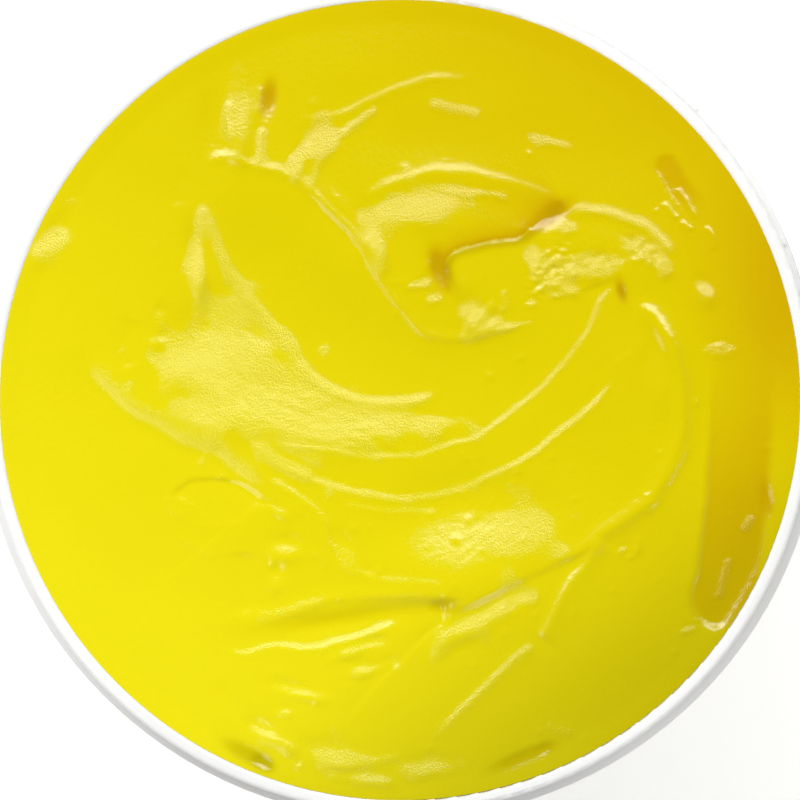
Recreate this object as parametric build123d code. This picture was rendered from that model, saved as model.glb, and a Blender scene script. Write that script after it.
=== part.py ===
from build123d import *
import math
import os

# Wide-mouth screw-top paint jar, opened: the jar stands on its base with its mouth up, and its lid
# lies upside down beside it. Millimetres, +Z up, origin at the centre of the jar's base.

# ---- neck and thread: 89 mm class continuous thread with a tamper band below it ----
neck_radius = 42.75
thread_crest_radius = 44.20
thread_pitch = 5.08
thread_turns = 1.0
thread_root_width = 2.9
thread_crest_width = 1.2
thread_root_sink = 0.6
thread_top_drop = 3.2
finish_height = 18.0
bead_drop = 12.4
bead_radius = 44.30
bead_width = 2.2

# ---- jar body ----
jar_height = 88.0
body_radius = 45.75
body_wall = 1.60
mouth_radius = 41.15
rim_round = 0.60
base_thickness = 2.4
heel_radius = 3.0
base_ring_inner = 37.0
push_up = 1.0
push_up_slope = 2.0
shoulder_round = 1.4
inner_corner = 2.5
label_recess = 0.35
label_low = 8.0
label_high = 62.0
label_edge_slope = 0.5

# ---- paint ----
paint_drop = 0.9
meniscus_height = 0.3
meniscus_width = 1.2
meniscus_round = 1.0

# ---- label on the body ----
label_thickness = 0.18
label_margin = 0.8
label_gap_degrees = 5.0
label_gap_azimuth = 90.0

# ---- tamper band left on the neck ----
band_inner_radius = 43.20
band_outer_radius = 46.40
band_height = 3.6
band_float = 0.15
band_edge_round = 0.35
bridge_count = 16
bridge_width = 0.9
bridge_height = 0.35
bridge_depth = 0.8
bridge_sink = 0.1

# ---- lid, drawn upside down in its resting place ----
lid_centre_x = 111.0
lid_height = 15.9
lid_inner_radius = 44.55
lid_skirt_radius = 46.10
lid_rib_height = 0.70
lid_rib_count = 96
lid_rib_duty = 0.52
lid_lip_radius = 47.00
lid_plain_band = 2.2
lid_top_thickness = 1.6
lid_top_round = 1.2
lid_lip_round = 0.45
lid_thread_minor_radius = 43.45
lid_thread_root_width = 2.6
lid_thread_crest_width = 1.0
lid_thread_start = 5.6
lid_label_recess_radius = 38.4
lid_label_recess = 0.45
lid_label_radius = 38.0
lid_label_thickness = 0.20
liner_radius = 43.90
liner_thickness = 1.00
liner_float = 0.05
press_ring_half_width = 1.1
press_ring_depth = 0.25

shoulder_z = jar_height - finish_height
bead_z = jar_height - bead_drop
body_inner_radius = body_radius - body_wall
full_turn = 360.0


def turned(corners):
    """Solid of revolution about Z from a closed outline of (radius, height[, rounding]) corners."""
    points = [corner[:2] for corner in corners]
    roundings = [corner[2] if len(corner) > 2 else 0 for corner in corners]
    outline = make_face(FilletPolyline(*points, radius=roundings, close=True))
    return revolve(Plane.XZ * outline, axis=Axis.Z)


def fade_block(wall_radius, crest_radius, level, angle, onward):
    """Block that cuts a thread's end on a slant, so the ridge runs out into the wall it grows from.

    level and angle place the thread's end; onward is +1 where the thread goes on anticlockwise.
    """
    depth = 8.0
    reach = 16.0
    block = Box(depth, reach, thread_pitch)
    if crest_radius > wall_radius:
        return Rot(0, 0, angle) * Pos(wall_radius + depth / 2, 0, level) * block
    slant = math.degrees(math.acos(crest_radius / wall_radius))
    placed = Pos(crest_radius - depth / 2, -onward * reach / 2, level) * block
    return Rot(0, 0, angle + onward * slant) * placed


def thread_ridge(wall_radius, crest_radius, root_width, crest_width, start_z, rise):
    """One helical ridge of trapezoid section, its root sunk a little into the wall it grows from."""
    outward = 1.0 if crest_radius > wall_radius else -1.0
    root_radius = wall_radius - outward * thread_root_sink
    path = Helix(pitch=thread_pitch, height=abs(rise), radius=wall_radius)
    slope = (root_width - crest_width) / 2 / abs(crest_radius - wall_radius)
    sunk_half = root_width / 2 + slope * thread_root_sink
    root_x = root_radius - wall_radius
    crest_x = crest_radius - wall_radius
    section = make_face(
        Polyline(
            (root_x, -sunk_half),
            (crest_x, -crest_width / 2),
            (crest_x, crest_width / 2),
            (root_x, sunk_half),
            close=True,
        )
    )
    start_plane = Plane(origin=(wall_radius, 0, 0), x_dir=(1, 0, 0), z_dir=(0, -1, 0))
    swept = sweep(start_plane * section, path=path, is_frenet=True)
    return Pos(0, 0, start_z) * swept


def jar_profile():
    """Outline of the jar's wall from the base centre, up the outside, over the rim and down."""
    panel = body_radius - label_recess
    outside = [
        (0, push_up),
        (base_ring_inner - push_up_slope, push_up, 1.0),
        (base_ring_inner, 0, 0.5),
        (body_radius, 0, heel_radius),
        (body_radius, label_low, 0.2),
        (panel, label_low + label_edge_slope, 0.2),
        (panel, label_high - label_edge_slope, 0.2),
        (body_radius, label_high, 0.2),
        (body_radius, shoulder_z, shoulder_round),
        (neck_radius, shoulder_z, 0.3),
        (neck_radius, jar_height, rim_round),
        (mouth_radius, jar_height, rim_round),
    ]
    return outside + inner_corners()


def inner_corners():
    """Inner wall's corners, from under the neck down to the middle of the floor."""
    floor = push_up + base_thickness
    return [
        (mouth_radius, shoulder_z - 0.4, 1.5),
        (body_inner_radius, shoulder_z - 3.4, 1.5),
        (body_inner_radius, floor, inner_corner),
        (0, floor),
    ]


def make_jar():
    """Jar body: revolved wall, a retaining bead and one turn of thread on the neck."""
    wall = turned(jar_profile())
    bead = turned(
        [
            (neck_radius - 0.4, bead_z - bead_width / 2),
            (bead_radius, bead_z - bead_width / 4, 0.3),
            (bead_radius, bead_z + bead_width / 8, 0.3),
            (neck_radius - 0.4, bead_z + bead_width / 2 + 0.4),
        ]
    )
    rise = thread_pitch * thread_turns
    top_z = jar_height - thread_top_drop
    low_z = top_z - rise
    end_angle = full_turn * thread_turns
    ridge = thread_ridge(
        neck_radius, thread_crest_radius, thread_root_width, thread_crest_width, low_z, rise
    )
    ridge -= fade_block(neck_radius, thread_crest_radius, low_z, 0, 1)
    ridge -= fade_block(neck_radius, thread_crest_radius, top_z, end_angle, -1)
    return wall + bead + ridge


def make_paint():
    """Paint filling the jar, with a small meniscus where it meets the wall."""
    top = jar_height - paint_drop
    surface = [
        (0, top),
        (mouth_radius - meniscus_width, top, meniscus_round),
        (mouth_radius, top + meniscus_height),
    ]
    return turned(surface + inner_corners())


def make_label():
    """Wrap-round label lying in the body's shallow panel, with a narrow gap at the back."""
    inner = body_radius - label_recess
    low = label_low + label_edge_slope + label_margin
    high = label_high - label_edge_slope - label_margin
    outer = inner + label_thickness
    sleeve = turned([(inner, low), (outer, low), (outer, high), (inner, high)])
    gap_width = math.radians(label_gap_degrees) * inner
    gap = Pos(inner, 0, (low + high) / 2) * Box(6, gap_width, high - low + 2)
    return sleeve - Rot(0, 0, label_gap_azimuth) * gap


def make_band():
    """Tamper band left on the neck, with the stubs of its snapped bridges on top."""
    low = shoulder_z + band_float
    high = low + band_height
    band = turned(
        [
            (band_inner_radius, low, 0.4),
            (band_outer_radius, low, band_edge_round),
            (band_outer_radius, high, band_edge_round),
            (band_inner_radius, high, 0.5),
        ]
    )
    stub_radius = band_outer_radius - band_edge_round - bridge_depth / 2
    stub_z = high + bridge_height / 2 - bridge_sink / 2
    stub = Box(bridge_depth, bridge_width, bridge_height + bridge_sink)
    for number in range(bridge_count):
        angle = full_turn * number / bridge_count
        band += Rot(0, 0, angle) * Pos(stub_radius, 0, stub_z) * stub
    return band


def ribbed_outline():
    """Closed outline of the lid's skirt: evenly spaced rounded grip ribs."""
    pitch_angle = 2 * math.pi / lid_rib_count
    half_rib = pitch_angle * lid_rib_duty / 2
    edges = []
    for number in range(lid_rib_count):
        middle = number * pitch_angle
        rib_start = middle - half_rib
        rib_end = middle + half_rib
        next_start = middle + pitch_angle - half_rib
        start = polar(lid_skirt_radius, rib_start)
        peak = polar(lid_skirt_radius + lid_rib_height, middle)
        end = polar(lid_skirt_radius, rib_end)
        valley = polar(lid_skirt_radius, (rib_end + next_start) / 2)
        following = polar(lid_skirt_radius, next_start)
        edges.append(ThreePointArc(start, peak, end))
        edges.append(ThreePointArc(end, valley, following))
    return make_face(edges)


def polar(radius, angle):
    """Plane point at a radius and an angle in radians."""
    return (radius * math.cos(angle), radius * math.sin(angle))


def make_lid():
    """Screw lid, upside down: ribbed skirt, plain rolled lip, top panel and internal thread."""
    lip_low = lid_height - lid_plain_band
    ribs = extrude(ribbed_outline(), lip_low + 0.4)
    corner_radius = lid_skirt_radius + lid_rib_height + 0.1
    corner = turned(
        [
            (0, 0),
            (corner_radius, 0, lid_top_round),
            (corner_radius, lid_height),
            (0, lid_height),
        ]
    )
    lip = turned(
        [
            (lid_inner_radius - 0.2, lip_low),
            (lid_skirt_radius - 0.2, lip_low),
            (lid_lip_radius, lip_low + 0.7, 0.25),
            (lid_lip_radius, lid_height, lid_lip_round),
            (lid_inner_radius - 0.2, lid_height),
        ]
    )
    shell = (ribs & corner) + lip
    hollow = turned(
        [
            (0, lid_top_thickness),
            (lid_inner_radius, lid_top_thickness),
            (lid_inner_radius, lid_height - 0.5),
            (lid_inner_radius + 0.4, lid_height + 0.01),
            (0, lid_height + 0.01),
        ]
    )
    panel = turned(
        [
            (0, -0.01),
            (lid_label_recess_radius, -0.01),
            (lid_label_recess_radius, lid_label_recess),
            (0, lid_label_recess),
        ]
    )
    shell = shell - hollow - panel
    rise = thread_pitch * thread_turns
    low_z = lid_thread_start
    end_angle = full_turn * thread_turns
    minor = lid_thread_minor_radius
    ridge = thread_ridge(
        lid_inner_radius, minor, lid_thread_root_width, lid_thread_crest_width, low_z, rise
    )
    ridge -= fade_block(lid_inner_radius, minor, low_z, 0, 1)
    ridge -= fade_block(lid_inner_radius, minor, low_z + rise, end_angle, -1)
    return shell + ridge


def make_liner():
    """Foam sealing disc lying loose in the lid, with the shallow ring that the jar's rim pressed."""
    low = lid_top_thickness + liner_float
    high = low + liner_thickness
    middle = (mouth_radius + neck_radius) / 2
    half = press_ring_half_width
    return turned(
        [
            (0, low),
            (liner_radius, low),
            (liner_radius, high),
            (middle + half, high),
            (middle + half * 0.6, high - press_ring_depth),
            (middle - half * 0.6, high - press_ring_depth),
            (middle - half, high),
            (0, high),
        ]
    )


def make_lid_label():
    """Round label stuck in the shallow panel of the lid's top, above the surface it lies on."""
    low = lid_label_recess - lid_label_thickness
    return extrude(Pos(0, 0, low) * Circle(lid_label_radius), lid_label_thickness)


def save(name, shape):
    """Write one sub-part as a STEP file named after its node."""
    export_step(shape, os.path.join("parts", name + ".step"))


os.makedirs("parts", exist_ok=True)
lid_place = Pos(lid_centre_x, 0, 0)

save("jar_body", make_jar())
save("paint_fill", make_paint())
save("jar_label", make_label())
save("neck_band", make_band())
save("cap_shell", lid_place * make_lid())
save("cap_liner", lid_place * make_liner())
save("cap_label", lid_place * make_lid_label())
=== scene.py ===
import math

import bmesh
import bpy
import numpy as np
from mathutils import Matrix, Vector
from mathutils.bvhtree import BVHTree


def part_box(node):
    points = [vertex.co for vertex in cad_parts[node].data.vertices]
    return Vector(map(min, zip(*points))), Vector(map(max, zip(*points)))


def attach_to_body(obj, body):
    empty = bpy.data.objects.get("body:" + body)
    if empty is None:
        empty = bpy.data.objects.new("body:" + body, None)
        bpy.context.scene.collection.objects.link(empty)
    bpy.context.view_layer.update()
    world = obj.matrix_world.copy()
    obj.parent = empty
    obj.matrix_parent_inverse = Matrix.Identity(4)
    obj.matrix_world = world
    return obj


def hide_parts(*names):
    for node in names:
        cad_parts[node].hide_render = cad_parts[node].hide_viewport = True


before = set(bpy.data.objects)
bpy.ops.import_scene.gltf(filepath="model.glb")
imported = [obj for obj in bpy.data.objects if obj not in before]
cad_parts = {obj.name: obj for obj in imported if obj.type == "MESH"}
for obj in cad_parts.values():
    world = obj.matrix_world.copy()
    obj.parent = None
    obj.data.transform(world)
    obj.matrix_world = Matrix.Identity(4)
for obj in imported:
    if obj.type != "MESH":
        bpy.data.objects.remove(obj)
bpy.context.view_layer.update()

# Open jar of thick yellow paint, seen from straight above. Relief of the paint is written in
# millimetres about the jar's axis; everything handed to Blender is in metres.
MM = 0.001

jar_high = Vector(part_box("jar_body")[1])
paint_low, paint_high = (Vector(corner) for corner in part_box("paint_fill"))
band_low = Vector(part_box("neck_band")[0])
label_low, label_high = (Vector(corner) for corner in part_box("jar_label"))
lid_low, lid_high = (Vector(corner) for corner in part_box("cap_shell"))
liner_high = Vector(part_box("cap_liner")[1])
lid_centre = (lid_low + lid_high) / 2
rim_z = jar_high.z


def widest_near(node, height, band):
    """Largest distance from the jar's axis of a CAD node's vertices within band of a height."""
    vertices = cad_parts[node].data.vertices
    return max(math.hypot(v.co.x, v.co.y) for v in vertices if abs(v.co.z - height) < band)


half_depth = (paint_high.z - paint_low.z) / 2
mouth_radius = widest_near("paint_fill", paint_high.z, 0.1 * MM)
body_radius = widest_near("paint_fill", paint_low.z + half_depth, half_depth)

# The paint's grid, its mean level, and how far its edge reaches out and creeps up at the rim.
paint_cells = 300
paint_level = rim_z - 0.2 * MM
paint_reach = mouth_radius + 0.15 * MM
paint_creep = 0.15 * MM

# Slope that mirrors the window straight up at the jar's axis, and its fall per millimetre of Y.
mirror_slope = 0.24
mirror_change = 0.0026

film_white = (0.80, 0.795, 0.765, 1.0)
ink_black = (0.035, 0.035, 0.04, 1.0)

# ---- node helpers


def join(source, target):
    """Link an output socket to an input socket of the same node tree."""
    target.id_data.links.new(source, target)


def new_material(name):
    """Empty node material with its output; returns (material, nodes, output)."""
    material = bpy.data.materials.new(name)
    material.use_nodes = True
    tree = material.node_tree
    tree.nodes.clear()
    output = tree.nodes.new("ShaderNodeOutputMaterial")
    return material, tree.nodes, output


def principled(nodes, output, **sockets):
    """Principled shader wired to the output, with constants set on its own sockets."""
    shader = nodes.new("ShaderNodeBsdfPrincipled")
    for name, value in sockets.items():
        shader.inputs[name.replace("_", " ")].default_value = value
    join(shader.outputs["BSDF"], output.inputs["Surface"])
    return shader


def object_position(nodes):
    """Object coordinates in metres."""
    return nodes.new("ShaderNodeTexCoord").outputs["Object"]


def noise(nodes, place, scale, detail=3.0, roughness=0.55, stretch=None):
    """Noise factor on a position, with an optional stretch of its axes."""
    texture = nodes.new("ShaderNodeTexNoise")
    texture.inputs["Scale"].default_value = scale
    texture.inputs["Detail"].default_value = detail
    texture.inputs["Roughness"].default_value = roughness
    if stretch:
        mapping = nodes.new("ShaderNodeMapping")
        mapping.inputs["Scale"].default_value = stretch
        join(place, mapping.inputs["Vector"])
        place = mapping.outputs["Vector"]
    join(place, texture.inputs["Vector"])
    return texture.outputs["Fac"]


def ramp(nodes, factor, stops, steps="LINEAR"):
    """Colour ramp over (position, colour) stops."""
    node = nodes.new("ShaderNodeValToRGB")
    node.color_ramp.interpolation = steps
    elements = node.color_ramp.elements
    while len(elements) < len(stops):
        elements.new(0.5)
    for element, (position, colour) in zip(elements, stops):
        element.position = position
        element.color = colour
    join(factor, node.inputs["Fac"])
    return node.outputs["Color"]


def bump(nodes, height, strength, distance, under=None):
    """Bump node from a height, chained on another bump's normal if one is given."""
    node = nodes.new("ShaderNodeBump")
    node.inputs["Strength"].default_value = strength
    node.inputs["Distance"].default_value = distance
    join(height, node.inputs["Height"])
    if under is not None:
        join(under, node.inputs["Normal"])
    return node.outputs["Normal"]


def scaled(nodes, value, factor, plus):
    """value * factor + plus, where factor and plus are numbers or other sockets."""
    node = nodes.new("ShaderNodeMath")
    node.operation = "MULTIPLY_ADD"
    join(value, node.inputs[0])
    for socket, number in zip(node.inputs[1:3], (factor, plus)):
        if isinstance(number, (int, float)):
            socket.default_value = number
        else:
            join(number, socket)
    return node.outputs[0]


def mixed(nodes, factor, first, second, blend="MIX"):
    """Blend of two colours, each a socket or a constant, by a factor socket."""
    node = nodes.new("ShaderNodeMix")
    node.data_type = "RGBA"
    node.blend_type = blend
    join(factor, node.inputs["Factor"])
    for socket, colour in ((node.inputs["A"], first), (node.inputs["B"], second)):
        if isinstance(colour, tuple):
            socket.default_value = colour
        else:
            join(colour, socket)
    return node.outputs["Result"]


def axes(nodes, place):
    """X, Y and Z of a position."""
    split = nodes.new("ShaderNodeSeparateXYZ")
    join(place, split.inputs["Vector"])
    return split.outputs


def from_axis(nodes, place, centre):
    """Distance of a position from the upright axis through centre, in metres."""
    for operation, amount in (("SUBTRACT", (centre[0], centre[1], 0.0)), ("MULTIPLY", (1.0, 1.0, 0.0))):
        step = nodes.new("ShaderNodeVectorMath")
        step.operation = operation
        step.inputs[1].default_value = amount
        join(place, step.inputs[0])
        place = step.outputs["Vector"]
    length = nodes.new("ShaderNodeVectorMath")
    length.operation = "LENGTH"
    join(place, length.inputs[0])
    return length.outputs["Value"]


def grey(value):
    return (value, value, value, 1.0)


# ---- paint relief


def smoothstep(low, high, value):
    """Smooth 0 to 1 ramp between low and high."""
    t = np.clip((value - low) / (high - low), 0.0, 1.0)
    return t * t * (3.0 - 2.0 * t)


def curve_through(points, step=0.35):
    """Evenly spaced samples of a Catmull-Rom curve through points, in millimetres."""
    knots = np.array(points, float)
    ends = np.vstack([2 * knots[0] - knots[1], knots, 2 * knots[-1] - knots[-2]])
    pieces = []
    for a, b, c, d in zip(ends[:-3], ends[1:-2], ends[2:-1], ends[3:]):
        count = max(2, int(np.linalg.norm(c - b) / step))
        t = np.linspace(0, 1, count, endpoint=False)[:, None]
        bend = 2 * a - 5 * b + 4 * c - d
        twist = 3 * b - a - 3 * c + d
        pieces.append(0.5 * (2 * b + (c - a) * t + bend * t**2 + twist * t**3))
    pieces.append(knots[-1:])
    return np.vstack(pieces)


def wobble(s, size, length, seed):
    """Small smooth wander along a curve: size and length in millimetres."""
    source = np.random.default_rng(seed)
    total = np.zeros_like(s)
    for octave in range(4):
        wave = length / 1.7**octave
        total += np.sin(2 * math.pi * s / wave + source.uniform(0, 6.28)) * size / 1.5**octave
    return total


def lumps(x, y, grain, seed):
    """Random smooth field of about unit size whose features are grain millimetres across."""
    source = np.random.default_rng(seed)
    total = np.zeros_like(x)
    waves = 26
    for _ in range(waves):
        turn = source.uniform(0, 2 * math.pi)
        number = 2 * math.pi / (grain * source.uniform(0.75, 2.2))
        phase = source.uniform(0, 2 * math.pi)
        total += np.sin(number * (x * math.cos(turn) + y * math.sin(turn)) + phase)
    return total / math.sqrt(waves / 2)


class Relief:
    """The paint's surface over a set of points, mark by mark: height, grain, and painted shade that turns
    it gold and darkens it.
    """

    def __init__(self, x, y):
        self.x = x
        self.y = y
        self.h = np.zeros_like(x)
        self.grain = np.zeros_like(x)
        # Painted shade: gold turns the colour darker gold, shade darkens it.
        self.gold = np.zeros_like(x)
        self.shade = np.zeros_like(x)
        self.seed = 0
        self.rag = lumps(x, y, 2.6, 91)

    def near(self, points, reach):
        """(selection, signed distance, share of the length) of the points near a curve.

        The distance is positive on the left of the curve's direction.
        """
        line = curve_through(points)
        low = line.min(axis=0) - reach
        high = line.max(axis=0) + reach
        inside = (self.x > low[0]) & (self.x < high[0]) & (self.y > low[1]) & (self.y < high[1])
        chosen = np.nonzero(inside)[0]
        px = self.x[chosen]
        py = self.y[chosen]
        sample_gap = 0.5
        best = np.full(px.shape, np.inf)
        index = np.zeros(px.shape, int)
        for number, (cx, cy) in enumerate(line):
            gap = (px - cx) ** 2 + (py - cy) ** 2
            closer = gap < best
            best[closer] = gap[closer]
            index[closer] = number
        run = np.gradient(line, axis=0)
        run /= np.linalg.norm(run, axis=1)[:, None]
        off_x = px - line[index, 0]
        off_y = py - line[index, 1]
        side = run[index, 0] * off_y - run[index, 1] * off_x
        onward = run[index, 0] * off_x + run[index, 1] * off_y
        beside = np.abs(onward) < sample_gap
        distance = np.where(beside, side, np.sqrt(best) * np.sign(side))
        lengths = np.concatenate([[0], np.cumsum(np.linalg.norm(np.diff(line, axis=0), axis=1))])
        length = lengths[index] + np.where(beside, onward, 0.0)
        self.seed += 1
        distance = distance + wobble(length, 0.04, 7.0, self.seed)
        return chosen, distance, np.clip(length / lengths[-1], 0, 1)

    def fold(self, points, lift, reach, drop, fall, edge=0.4, fade=(0.12, 0.12), grain=0.0):
        """Step left by a knife: raised on the left of the curve, low on its right, a slope between."""
        chosen, d, s = self.near(points, 3 * max(reach, fall))
        up = lift * np.exp(-np.clip(d - edge, 0, None) / reach)
        down = -drop * np.exp(-np.clip(-d - edge, 0, None) / fall)
        across = smoothstep(-edge, edge, d)
        share = fading(s, fade)
        self.h[chosen] += (down * (1 - across) + up * across) * share
        self.grain[chosen] += grain * np.exp(-((d / 0.5) ** 2)) * share

    def ledge(self, points, drop, wall, fall, fade, gold):
        """Rounded lip over a wall and a pit on its right, with painted shade: the pit and wall turned
        gold, the wall darkened.
        """
        chosen, d, s = self.near(points, wall + 3 * fall)
        climb = 1 - (1 - np.clip(1 + d / wall, 0, 1)) ** 2
        pit = np.exp(-np.clip(-d - wall, 0, None) / fall)
        share = fading(s, fade)
        self.h[chosen] -= drop * np.where(d < -wall, pit, 1 - climb) * share
        # Painted shade: gold in the pit, darker and gold along the wall.
        self.gold[chosen] += gold * np.where(d < -wall, pit, 0) * share
        near_wall = smoothstep(wall + 0.45, 0.0, np.abs(d + 0.1)) * share
        self.shade[chosen] += 0.5 * near_wall
        self.gold[chosen] += 0.4 * near_wall

    def crest(self, points, height, left, right, fade=(0.15, 0.15), point=1.5, grain=0.0):
        """Crest, or a crease if its height is negative, with its own width on each side."""
        chosen, d, s = self.near(points, 4 * max(left, right))
        width = np.where(d > 0, left, right)
        share = fading(s, fade)
        self.h[chosen] += height * np.exp(-((np.abs(d) / width) ** point)) * share
        self.grain[chosen] += grain * np.exp(-((d / (0.4 + 0.5 * right)) ** 2)) * share

    def trough(self, points, depth, half, wall, fade, gold):
        """Flat-bottomed track with round ends, half its width given, its walls steep and its floor turned
        gold by painted shade.
        """
        chosen, d, s = self.near(points, half * 1.6)
        floor = (1 - smoothstep(1 - wall, 1 + wall, np.abs(d) / half)) * fading(s, fade)
        self.h[chosen] -= depth * floor
        # Painted shade on the slot's floor.
        self.gold[chosen] += gold * floor

    def within(self, x, y, long, short, angle):
        """Distance from an oval's centre as a share of its radii."""
        turn = math.radians(angle)
        u = (self.x - x) * math.cos(turn) + (self.y - y) * math.sin(turn)
        v = (self.y - y) * math.cos(turn) - (self.x - x) * math.sin(turn)
        return np.sqrt((u / long) ** 2 + (v / short) ** 2)

    def mound(self, x, y, long, short, angle, height, flat=2.0, gold=0.0, dark=0.0):
        """Soft oval mound, or a hollow if its height is negative; gold and dark lay painted shade on it,
        turning it gold and darker.
        """
        mask = np.exp(-(self.within(x, y, long, short, angle) ** flat))
        self.h += height * mask
        # Painted shade: gold and dark colour the mound where shade would fall.
        self.gold += gold * mask
        self.shade += dark * mask

    def facet(self, x, y, long, short, angle, lit, side=0.0, grain=0.0, sharp=3.0):
        """Facet pressed by the knife, leaning by a share, lit, of the slope that mirrors the window."""
        firm = 0.85
        share = self.within(x, y, long, short, angle)
        ragged = 0.14 * min(1.0, 0.5 / short**2)
        mask = np.exp(-((share * (1 + ragged * self.rag)) ** sharp))
        level = np.sum(self.h * mask) / np.sum(mask)
        lean = lit * (mirror_slope - mirror_change * y)
        flat = level - side * (self.x - x) - lean * (self.y - y)
        self.h += (flat - self.h) * mask * firm
        self.grain += grain * np.exp(-((share * (1 + 0.2 * self.rag)) ** 3))

    def rough(self, x, y, long, short, angle, size, width, grain=0.5, streak=1.0):
        """Patch of broken lumps, width millimetres across and streak times longer along the patch."""
        mask = np.exp(-(self.within(x, y, long, short, angle) ** 3))
        turn = math.radians(angle)
        along = (self.x * math.cos(turn) + self.y * math.sin(turn)) / streak
        over = self.y * math.cos(turn) - self.x * math.sin(turn)
        self.seed += 1
        self.h += size * mask * lumps(along, over, width, self.seed)
        self.grain += grain * mask


def fading(s, fade):
    """1 along a mark, easing to 0 over a share of its length at each end that has one."""
    share = np.ones_like(s)
    if fade[0] > 0:
        share *= smoothstep(0, fade[0], s)
    if fade[1] > 0:
        share *= smoothstep(0, fade[1], 1 - s)
    return share


def stir_swipe(r):
    """Long knife track from the upper left that turns to the right, and its pale outer bank."""
    track = [(-19, 22), (-15, 15), (-10, 9), (-3, 5), (5, 3), (13, 4.5), (19, 8)]
    r.crest(track, -0.55, 5.0, 6.5, fade=(0.2, 0.25), point=2.2)
    r.crest(
        [(-20.3, 24.2), (-18.1, 25.1), (-14.9, 24.1), (-11, 23), (-9.2, 21.5), (-7, 19.3), (-4.6, 17),
         (-3.4, 14.6), (-2.1, 12.6), (0, 9.7), (2.1, 7.3), (4.2, 6.5), (6.8, 6.4), (9.2, 6.8),
         (12.6, 7.8), (14.7, 8.8)],
        0.12, 0.55, 0.4, fade=(0.05, 0.1), grain=0.35,
    )
    r.fold([(-9.8, 22), (-7.6, 19.6), (-5.2, 17.2), (-3.6, 14.6)],
           0.04, 1.0, 0.10, 1.4, edge=0.35, fade=(0.3, 0.3))
    r.mound(-6.2, 20.2, 2.8, 0.7, -48, 0.10)
    r.facet(-18.0, 9.2, 2.6, 2.6, -55, 0.68, grain=0.9)
    r.facet(-21.8, 3.6, 3.6, 3.6, -50, 0.68, grain=0.9)
    r.facet(-19.6, -1.2, 3.8, 2.4, -36, 0.7, grain=0.9)
    r.facet(-16.8, 3.6, 6.8, 5.0, -46, 0.76, grain=1.0, sharp=4.0)
    r.facet(-11.2, -1.2, 7.0, 3.6, -24, 0.74, grain=1.0)
    r.facet(-4.0, -2.6, 5.8, 2.1, -6, 0.76, grain=0.9)
    r.facet(3.0, -2.6, 3.8, 1.2, 6, 0.7, grain=0.5)
    r.rough(-16.8, 4.0, 8.0, 5.6, -46, 0.016, 0.8, grain=0.0, streak=2.5)
    r.rough(-6.0, -2.0, 9.0, 3.0, -14, 0.016, 0.8, grain=0.0, streak=2.5)
    r.crest([(-20.2, 20.6), (-20.9, 17.5), (-21.3, 13.6), (-21, 11)], 0.05, 0.7, 0.3, grain=0.9)
    r.crest([(-20.1, 20.4), (-19.4, 17.4), (-18.1, 14.2), (-16.4, 11.4), (-13.6, 8), (-10.6, 4.4)],
            0.09, 0.4, 0.6, grain=1.0)
    r.facet(-21.0, 14.2, 0.8, 3.6, 6, 0.8, grain=0.9)
    r.crest([(-11.4, 5), (-8.4, 1.6), (-5, 0), (-2, -0.4), (1.4, -0.2), (4.4, 0.9)],
            0.09, 0.35, 0.6, grain=1.0)
    r.crest([(-22, 23.6), (-23, 22), (-22.8, 20)], -0.05, 0.7, 0.7)


def stir_bank(r):
    """S-shaped bank on the left: pale ground above it, a soft shaded slope below."""
    r.fold(
        [(-32, 6.3), (-31.2, 3.1), (-29.3, 1.2), (-27.4, -0.8), (-24.4, -2.4), (-22.2, -3.9),
         (-18.8, -4.9), (-17, -6.3), (-15.1, -7.9), (-13.4, -9.5), (-12, -11.6)],
        0.04, 2.0, 0.26, 5.0, edge=1.7, fade=(0.2, 0.25),
    )
    r.crest(
        [(-31.8, 5.4), (-31, 3), (-29.2, 1.2), (-27.2, -0.6), (-24.2, -2.2), (-22, -3.6), (-18.6, -4.7),
         (-16.8, -6.1), (-14.9, -7.7), (-13, -9.4)],
        0.09, 0.9, 0.9, point=1.8, grain=0.7,
    )
    r.crest([(-25.4, 9.9), (-24.0, 8.9), (-24.0, 7.2), (-25, 6.3)], -0.14, 0.7, 0.8)
    r.mound(-25.3, 5.7, 0.8, 0.7, 0, 0.16)
    r.crest([(-27.6, 8.5), (-28.4, 5.6), (-27.8, 3.2)], -0.10, 1.2, 1.2)


def stir_rings(r):
    """Nested curved strokes from the lower left up into the fan, each a shallow terrace."""
    r.fold(
        [(22.5, 12.4), (20.8, 10.5), (20, 8.3), (18.4, 5.8), (16.3, 3.1), (14.2, 1), (11, -1.6),
         (7.9, -3.7), (4.7, -4.7), (2.1, -5.6), (0, -5.7), (-3.4, -5.8), (-6.3, -5.2), (-9.7, -4.8),
         (-13.4, -4.2)],
        0.03, 1.6, 0.05, 1.6, edge=0.22, fade=(0.05, 0.05), grain=0.6,
    )
    r.fold(
        [(22.8, 3.4), (20.5, 0.2), (16.8, -3), (13.2, -5.8), (8.6, -8.1), (4.4, -9.7), (0, -10.1),
         (-4.4, -9.5), (-8.1, -8.4), (-10.2, -7.6), (-12.8, -6.3), (-14.4, -4.9), (-14.9, -3.7)],
        0.06, 1.4, 0.07, 1.8, edge=0.26, fade=(0.12, 0.03), grain=1.0,
    )
    r.fold([(4, -11.5), (0, -11.4), (-3, -11.2), (-6.3, -10.6)], 0.03, 1.0, 0.03, 1.0, edge=0.2, grain=0.4)
    r.crest([(-14.7, -4), (-13.6, -5.5), (-11.2, -7), (-8.6, -8.1)], 0.14, 0.6, 0.6, grain=1.0)
    r.fold(
        [(4.9, -19.8), (3.4, -18.8), (0, -18.5), (-3.1, -18.1), (-5.8, -16.9), (-7, -14.8), (-7.6, -12.6),
         (-9.2, -10.6), (-11.2, -9.3), (-14.6, -7.4)],
        0.05, 1.6, 0.08, 1.4, edge=0.45, fade=(0.06, 0.1), grain=0.4,
    )
    r.facet(-5.4, -15.8, 1.0, 2.4, 30, 0.5, grain=0.3)
    r.mound(-10.8, -11.4, 1.0, 0.8, 20, 0.06)


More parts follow.
